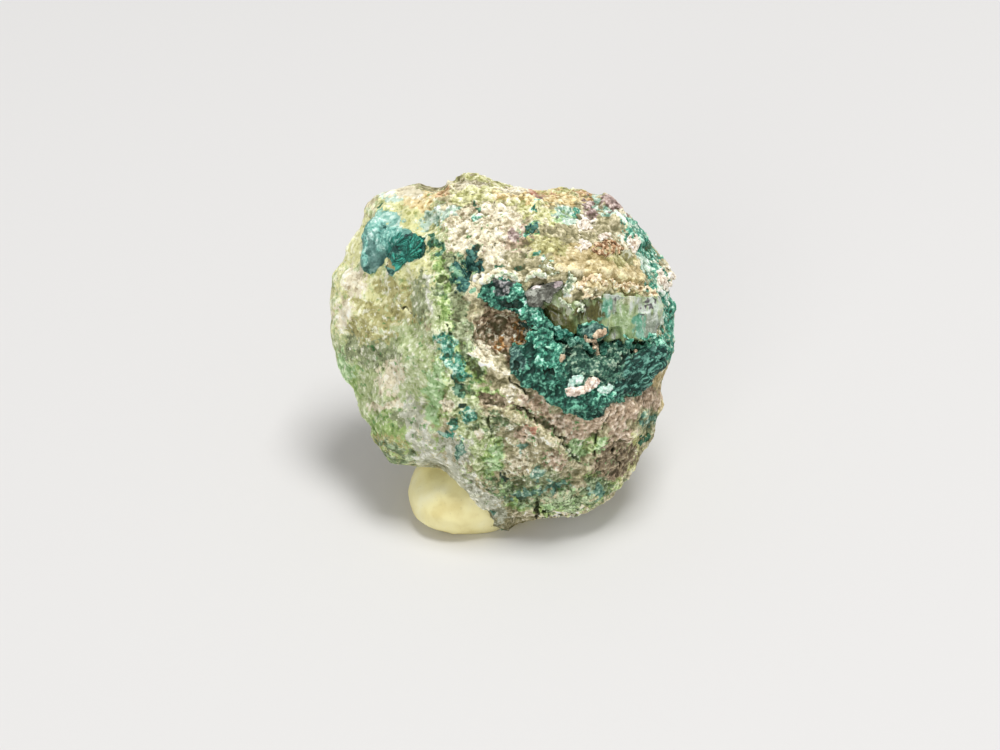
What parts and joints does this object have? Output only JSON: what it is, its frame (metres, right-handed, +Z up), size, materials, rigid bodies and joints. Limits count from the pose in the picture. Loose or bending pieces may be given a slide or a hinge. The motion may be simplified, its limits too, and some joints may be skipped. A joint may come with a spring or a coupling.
{
  "type": "bournonite specimen on a putty pellet",
  "caption": "Rounded lump of altered ore with green copper-mineral crusts, pressed into a pellet of mounting putty.",
  "frame": {"origin": "on the ground, under the centre of the bounding box", "axes": "+Z up, the display face looks to -Y and upwards, +X to its right; the width along X is the longest side"},
  "size_m": [0.0318, 0.0234, 0.0286],
  "materials": {
    "host_rock": "rough, granular",
    "malachite": "knobbly, satin",
    "blue_green_crust": "smooth, waxy",
    "pale_green_crystal": "glassy, half clear",
    "putty": "matt"
  },
  "bodies": {
    "root": {"host_rock": "host_rock", "malachite_crust": "malachite", "blue_green_nodules": "blue_green_crust", "step_crystals": "pale_green_crystal", "mounting_putty": "putty"}
  },
  "joints": []
}
